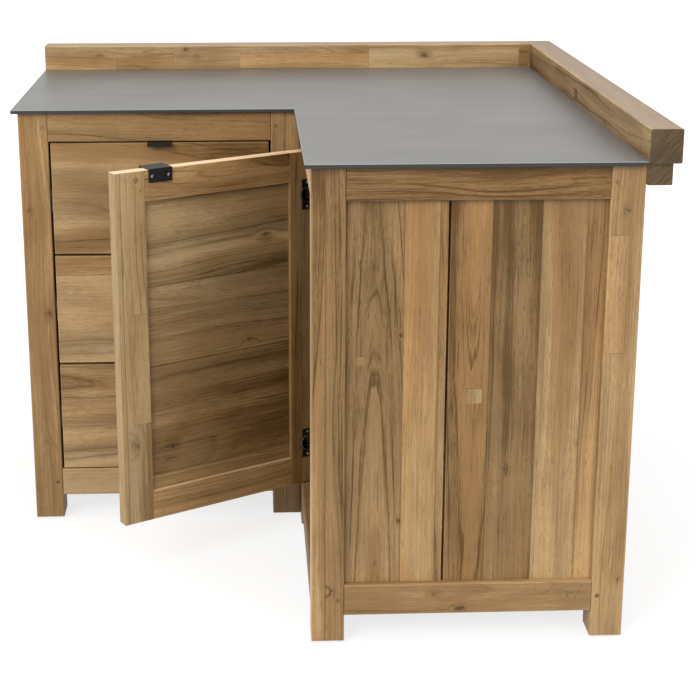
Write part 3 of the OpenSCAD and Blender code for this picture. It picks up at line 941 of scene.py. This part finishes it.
# %% Drawer fronts, boxes and bottoms
FRONT_EASE = 0.0015
FRONTS = {
    "top": {"looks": [(0.08, 0.0, 0.4, 0.02, 0.12)], "fade": (-0.9,)},
    "middle": {
        "seams": [0.193], "looks": [(0.46, -0.1, 0.3, 0.05, 0.1), (0.22, 0.5, 0.3, 0.1, 0.1)],
    },
    "bottom": {
        "seams": [0.160],
        "looks": [(0.28, 0.0, 0.5, 0.09, 0.05), (0.18, 0.0, 0.9, 0.0, 0.036, 0.06)],
    },
}
for name, wood in FRONTS.items():
    teak_boards(
        name + "_drawer_front", teak_planks, ease=FRONT_EASE, along="x", across="z", **wood
    )
    teak_boards(name + "_drawer_box", teak_planks)
    teak_boards(name + "_drawer_bottom", teak_planks, seams=[0.11, 0.22, 0.33])
print("drawers:", ", ".join(FRONTS))

# %% [markdown]
# ## The worktop
#
# The worktop is a thin dark grey slab with a honed face. Seen from low down it looks much lighter
# than its edge, because a smooth face reflects the bright room at a shallow angle. That comes from
# the shader by itself, so the slab is given its true, darker colour. Its sides are rough and darker
# still, and the narrow bevel is painted pale, a painted highlight. A value at each corner tells the
# three apart.

# %% The slab
SIDE, BEVEL, HONED = 1.0, -1.0, 0.0

slab = Finish("worktop_slab")
here = slab.place()
which = slab.split(slab.attribute("edge"))[0]
cloud = slab.noise(here, 5, 3) - 0.5
speck = slab.noise(here, 420, 2) - 0.5
smear = slab.noise(slab.stretch(here, 2, 9, 2), 1, 3) - 0.5
tint = slab.blend(0.5 + cloud * 1.2 + speck * 0.8, light_of(92, 90, 87), light_of(112, 110, 106))
tint = slab.blend(which, tint, light_of(44, 44, 43))
# the bevel faces are painted pale grey: a painted highlight along the arris
tint = slab.blend(which * -1, tint, light_of(148, 150, 149))
slab.surface(
    Base_Color=tint,
    Roughness=0.36 + smear * 0.12 + speck * 0.06,
    Normal=slab.bump(speck + cloud * 0.5, 0.0003, 0.3),
)
shape = merged_copy("worktop")
round_edges(shape, 0.0012)
shape.normal_update()
edge = shape.loops.layers.float_vector.new("edge")
for face in shape.faces:
    up = face.normal.z
    kind = SIDE if up < 0.1 else (BEVEL if up < 0.99 else HONED)
    for loop in face.loops:
        loop[edge] = Vector((kind, 0, 0))
piece = keep(shape, "worktop_slab", slab.material, "cabinet")
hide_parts("worktop")

# %% [markdown]
# ## Metal and plastic
#
# The pulls and hinges are black powder-coated steel with a fine texture, the screws and runners
# are zinc-plated, and the glides under the posts are black plastic. Paint hides the metal from
# the light, so only the zinc is metallic.


# %% Black metal, zinc and plastic
def metal(name, colour, metallic, rough, grit, depth):
    """A coated finish. Its grit is in waves a metre, and its depth in metres."""
    f = Finish(name)
    at = f.place()
    fine = f.noise(at, grit, 2) - 0.5
    broad = f.noise(at, 35, 3) - 0.5
    darker = tuple(v * 0.75 for v in colour)
    return f.surface(
        Base_Color=f.blend(0.5 + fine * 0.6 + broad * 0.8, darker, colour),
        Metallic=metallic,
        Roughness=rough + broad * 0.15 + fine * 0.08,
        Normal=f.bump(fine, depth, 0.5),
    )


black_metal = metal("black_metal", light_of(21, 21, 22), 0.0, 0.42, 1800, 0.0001)
zinc = metal("screw_steel", light_of(205, 206, 208), 1.0, 0.34, 900, 0.00005)
runner_zinc = metal("runner_steel", light_of(178, 181, 184), 1.0, 0.38, 260, 0.00005)
plastic = metal("black_plastic", light_of(30, 30, 31), 0.0, 0.5, 700, 0.0001)

# %% Pulls, hinges, runners and glides
PULLS = ("door_pull", "top_drawer_pull", "middle_drawer_pull", "bottom_drawer_pull")
HINGES = ("hinge_cups", "hinge_arms", "hinge_mounting_plates")
RUNNERS = [n for n in body_of if n.endswith("_rails") and slot_of[n] == "runner_steel"]


def metal_piece(node, material, ease=0.0, shortest=0.003):
    shape = merged_copy(node)
    if ease:
        round_edges(shape, ease, shortest)
    piece = keep(shape, node + "_metal", material, body_of[node], rounded=True)
    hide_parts(node)


for node in PULLS:
    metal_piece(node, black_metal, 0.0004, shortest=0.001)
for node in HINGES:
    metal_piece(node, black_metal, 0.0003)
metal_piece("hinge_pins", zinc)
for node in RUNNERS:
    metal_piece(node, runner_zinc, 0.0003)
metal_piece("glides", plastic)
print("pieces of steel in the runners:", len(RUNNERS))

# %% [markdown]
# ## Screws
#
# A pan head screw is a low dome with a cross-shaped recess. A short profile spun round the axis
# gives the dome and leaves its middle open. The recess starts as a grid of three by three faces
# without its four corners, which is a cross. It is pushed in, the lid that the push leaves behind
# is taken off, the open ring between the cross and the dome is bridged, and the base is filled.
# Sizes are given as parts of the head's radius or height.

# %% One screw head
DOME = ((1.0, 0.0), (1.0, 0.25), (0.94, 0.6), (0.80, 0.88), (0.62, 1.0))
HEAD_HEIGHT = 0.42
CROSS_SIZE = 0.45
CROSS_DEPTH = 0.6


def screw_head(radius, turn):
    """A pan head that lies on the XY plane, its cross turned by the angle."""
    shape = bmesh.new()
    height = radius * HEAD_HEIGHT
    profile = [shape.verts.new((radius * out, 0, height * up)) for out, up in DOME]
    lines = [shape.edges.new(pair) for pair in zip(profile, profile[1:])]
    bmesh.ops.spin(
        shape, geom=profile + lines, cent=(0, 0, 0), axis=(0, 0, 1),
        angle=math.tau, steps=24, use_merge=True,
    )
    top = [v for v in shape.verts if v.co.z > height * 0.99]
    ring = [e for e in shape.edges if e.verts[0] in top and e.verts[1] in top]
    size = radius * CROSS_SIZE
    grid = bmesh.ops.create_grid(shape, x_segments=3, y_segments=3, size=size)["verts"]
    bmesh.ops.translate(shape, verts=grid, vec=(0, 0, height))
    cells = {f for v in grid for f in v.link_faces}
    corners = [f for f in cells if len([e for e in f.edges if e.is_boundary]) == 2]
    bmesh.ops.delete(shape, geom=corners, context="FACES")
    cross = [f for f in cells if f.is_valid]
    rim = [e for f in cross for e in f.edges if e.is_boundary]
    pushed = bmesh.ops.extrude_face_region(shape, geom=cross)["geom"]
    floor = [v for v in pushed if isinstance(v, bmesh.types.BMVert)]
    bmesh.ops.translate(shape, verts=floor, vec=(0, 0, -height * CROSS_DEPTH))
    bmesh.ops.delete(shape, geom=cross, context="FACES_ONLY")
    bmesh.ops.bridge_loops(shape, edges=ring + rim)
    bmesh.ops.holes_fill(shape, edges=[e for e in shape.edges if e.is_boundary], sides=0)
    bmesh.ops.recalc_face_normals(shape, faces=shape.faces)
    spun = Matrix.Rotation(turn, 3, "Z")
    bmesh.ops.rotate(shape, cent=(0, 0, 0), matrix=spun, verts=shape.verts)
    return shape


# %% Several heads as one piece
SCREW_RADIUS = 0.003


def screws(name, places, facing, body, replaced=()):
    """Zinc-plated heads that face the same way."""
    draw = random.Random(name)
    all_heads = bmesh.new()
    stand = Vector(facing).to_track_quat("Z", "Y").to_matrix().to_4x4()
    for place in places:
        head = screw_head(SCREW_RADIUS, draw.uniform(0, math.pi / 2))
        put = squared(body).inverted() @ Matrix.Translation(Vector(place)) @ stand
        bmesh.ops.transform(head, matrix=put, verts=head.verts)
        mesh = bpy.data.meshes.new(name)
        head.to_mesh(mesh)
        head.free()
        all_heads.from_mesh(mesh)
        bpy.data.meshes.remove(mesh)
    piece = keep(all_heads, name, zinc, body, rounded=True)
    if replaced:
        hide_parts(*replaced)
    print(name + ":", len(places))


# %% [markdown]
# The places are worked out from the boxes of the pieces that the screws hold, so the heads sit on
# their surfaces. A pull has two side by side in its tab, and a hinge has one above and one below
# its cup and two more in the plate on the post.

# %% Screws of the door, the drawers and the hinges
SCREW_APART = 0.035
TAB_SCREW_DOWN = 0.0145
CUP_RADIUS = 0.0175
FLANGE_HALF = 0.031
FLANGE_APART = 0.050
PLATE_APART = 0.034
PLATE_SCREW_ASIDE = 0.004


def pair(middle, apart):
    """Two places that lie this far apart, the lower one first."""
    return middle - apart / 2, middle + apart / 2


low, high = square_box("door_pull")
tab_up = high.z - TAB_SCREW_DOWN
door_places = [(high.x, y, tab_up) for y in pair((low.y + high.y) / 2, SCREW_APART)]
low, high = square_box("hinge_cups")
cup_side = low.y + CUP_RADIUS
hinge_levels = (low.z + FLANGE_HALF, high.z - FLANGE_HALF)
for level in hinge_levels:
    door_places += [(high.x, cup_side, z) for z in pair(level, FLANGE_APART)]
screws("door_screw_heads", door_places, (1, 0, 0), "door", ["door_screws"])

low, high = square_box("hinge_mounting_plates")
aside = (low.x + high.x) / 2 + PLATE_SCREW_ASIDE
places = [(aside, low.y, z) for level in hinge_levels for z in pair(level, PLATE_APART)]
screws("plate_screw_heads", places, (0, -1, 0), "cabinet")
for name in FRONTS:
    low, high = square_box(name + "_drawer_pull")
    tab_up = high.z - TAB_SCREW_DOWN
    places = [(x, high.y, tab_up) for x in pair((low.x + high.x) / 2, SCREW_APART)]
    screws(name + "_pull_screw_heads", places, (0, 1, 0), name + "_drawer")

# %% [markdown]
# The hinge cup's rim is a bright steel wire, open where the arm leaves the cup. A small circle is
# set at one end of the arc and spun round the cup's axis to the other end.

# %% Rims of the hinge cups
RIM_RADIUS = 0.0158
WIRE_RADIUS = 0.0007
RIM_HALF = math.radians(142)
rims = bmesh.new()
low, high = square_box("hinge_cups")
for level in hinge_levels:
    centre = Vector((high.x, cup_side, level))
    wire = bmesh.ops.create_circle(
        rims, cap_ends=False, radius=WIRE_RADIUS, segments=8,
        matrix=Matrix.Translation(centre + Vector((0, -RIM_RADIUS, 0))),
    )["verts"]
    start = Matrix.Rotation(-RIM_HALF, 3, "X")
    bmesh.ops.rotate(rims, cent=centre, matrix=start, verts=wire)
    circle = list({e for v in wire for e in v.link_edges})
    bmesh.ops.spin(
        rims, geom=wire + circle, cent=centre, axis=(1, 0, 0), angle=2 * RIM_HALF, steps=40
    )
bmesh.ops.holes_fill(rims, edges=[e for e in rims.edges if e.is_boundary], sides=8)
bmesh.ops.transform(rims, matrix=close_door.inverted(), verts=rims.verts)
bmesh.ops.recalc_face_normals(rims, faces=rims.faces)
keep(rims, "hinge_cup_rims", zinc, "door", rounded=True)
print("rims of hinge cups:", len(hinge_levels))

# %% [markdown]
# ## Pegs in the door
#
# The door's corner joints are pegged too. One hole was filled with a wide plug, cut across the
# grain, and its glue line shows as a dark ring. Each peg is a disc that stands a hair proud.

# %% Plug and pegs of the door
DOOR_PEGS = (
    (-0.490, 0.811, 0.0056),
    (-0.4825, 0.790, 0.002),
    (-0.4785, 0.148, 0.002),
    (-0.1375, 0.804, 0.002),
    (-0.1435, 0.149, 0.0025),
)
DOOR_FACE = 0.0025
ROOT = 0.0005
PROUD = 0.0002
pegs = bmesh.new()
lying = Matrix.Rotation(math.pi / 2, 4, "Y")
for across, up, radius in DOOR_PEGS:
    place = Matrix.Translation((DOOR_FACE - ROOT, across, up)) @ lying
    disc = bmesh.ops.create_circle(pegs, cap_ends=True, radius=radius, segments=20, matrix=place)
    cap = [f for f in pegs.faces if all(v in disc["verts"] for v in f.verts)]
    raised = bmesh.ops.extrude_face_region(pegs, geom=cap)["geom"]
    moved = [v for v in raised if isinstance(v, bmesh.types.BMVert)]
    bmesh.ops.translate(pegs, verts=moved, vec=(ROOT + PROUD, 0, 0))
bmesh.ops.recalc_face_normals(pegs, faces=pegs.faces)
ring_pegs(pegs, "door_pegs", "x", "y", (0.5, -0.3, 0.2))
bmesh.ops.transform(pegs, matrix=close_door.inverted(), verts=pegs.verts)
keep(pegs, "door_pegs", teak_pegs, "door")

# %% [markdown]
# ## The studio
#
# The photograph has a plain white ground and very soft light. A large lamp at the left front, a
# weaker one at the right and a pale sky do that. The floor only keeps the soft shadow.
#
# A ray from the camera or off a gloss finds floor and sky white. A ray that gathers light finds
# them greyer, so that they don't wash out the wood.

# %% Floor
FLOOR_SIZE = 14
WHITE = (1.0, 1.0, 1.0)

floor_shape = bmesh.new()
bmesh.ops.create_grid(floor_shape, x_segments=1, y_segments=1, size=FLOOR_SIZE)
floor_mesh = bpy.data.meshes.new("floor")
floor_shape.to_mesh(floor_mesh)
floor_shape.free()
floor = add_object("floor", floor_mesh)
floor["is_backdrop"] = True


def looked_at(graph):
    """One for rays that end in the eye, from the camera or off a gloss, and zero for others."""
    rays = ("Is Camera Ray", "Is Glossy Ray", "Is Transmission Ray")
    seen, gloss, glass = graph.node("ShaderNodeLightPath", out=rays)
    return seen.math("MAXIMUM", gloss).math("MAXIMUM", glass)


paper = Finish("floor_paper")
paper.surface(Base_Color=(0.45, 0.45, 0.45), Roughness=0.9, Specular_IOR_Level=0.0)
length = {"operation": "LENGTH"}
from_middle = paper.node("ShaderNodeVectorMath", length, {0: paper.place()}, out="Value")
brighter = paper.step(from_middle, 0.9, 3.2, 0.77, 1.0)
glow = paper.node("ShaderNodeEmission", None, {"Color": WHITE, "Strength": brighter})
faint = paper.node("ShaderNodeBsdfDiffuse", None, {"Color": (0.3, 0.3, 0.3)})
both = paper.node("ShaderNodeAddShader", None, {0: faint, 1: glow})
plain = Wire(paper, paper.shader.outputs[0])
shown = paper.node("ShaderNodeMixShader", None, {0: looked_at(paper), 1: plain, 2: both})
paper.put(paper.output.inputs[0], shown)
floor_mesh.materials.append(paper.material)

# %% Sky
world = bpy.data.worlds.new("studio")
bpy.context.scene.world = world
sky = Graph(world)
ambient = sky.node("ShaderNodeBackground", None, {"Color": WHITE, "Strength": 0.55})
white = sky.node("ShaderNodeBackground", None, {"Color": WHITE, "Strength": 1.0})
shown = sky.node("ShaderNodeMixShader", None, {0: looked_at(sky), 1: ambient, 2: white})
sky.node("ShaderNodeOutputWorld", None, {0: shown}, out=())

# %% [markdown]
# The larger a lamp is, the softer its shadows are. Reflections leave the lamps out, so that no
# bright square shows in the worktop.

# %% Lamps
# each with its place, its size in metres and its power in watts
LAMPS = {
    "key_lamp": ((-2.6, -3.6, 3.2), 2.6, 150),
    "fill_lamp": ((2.8, -3.4, 2.0), 2.2, 40),
    "top_lamp": ((0.3, 0.3, 4.2), 3.0, 60),
}
LIT = Vector((0.0, 0.0, 0.45))
for name, (at, size, watts) in LAMPS.items():
    lamp = bpy.data.lights.new(name, "AREA")
    lamp.shape = "SQUARE"
    lamp.size = size
    lamp.energy = watts
    holder = add_object(name, lamp)
    holder.location = at
    holder.rotation_mode = "QUATERNION"
    holder.rotation_quaternion = (LIT - Vector(at)).to_track_quat("-Z", "Y")
    holder.visible_glossy = False
print("lamps:", ", ".join(LAMPS))

# %% [markdown]
# ## Colour and size
#
# The colours are shown as they are, with no film curve. The size of the dressed model is printed.

# %% Colour management and size
bpy.context.scene.view_settings.view_transform = "Standard"
low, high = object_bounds()
print("dressed size:", [round(v, 3) for v in high - low])
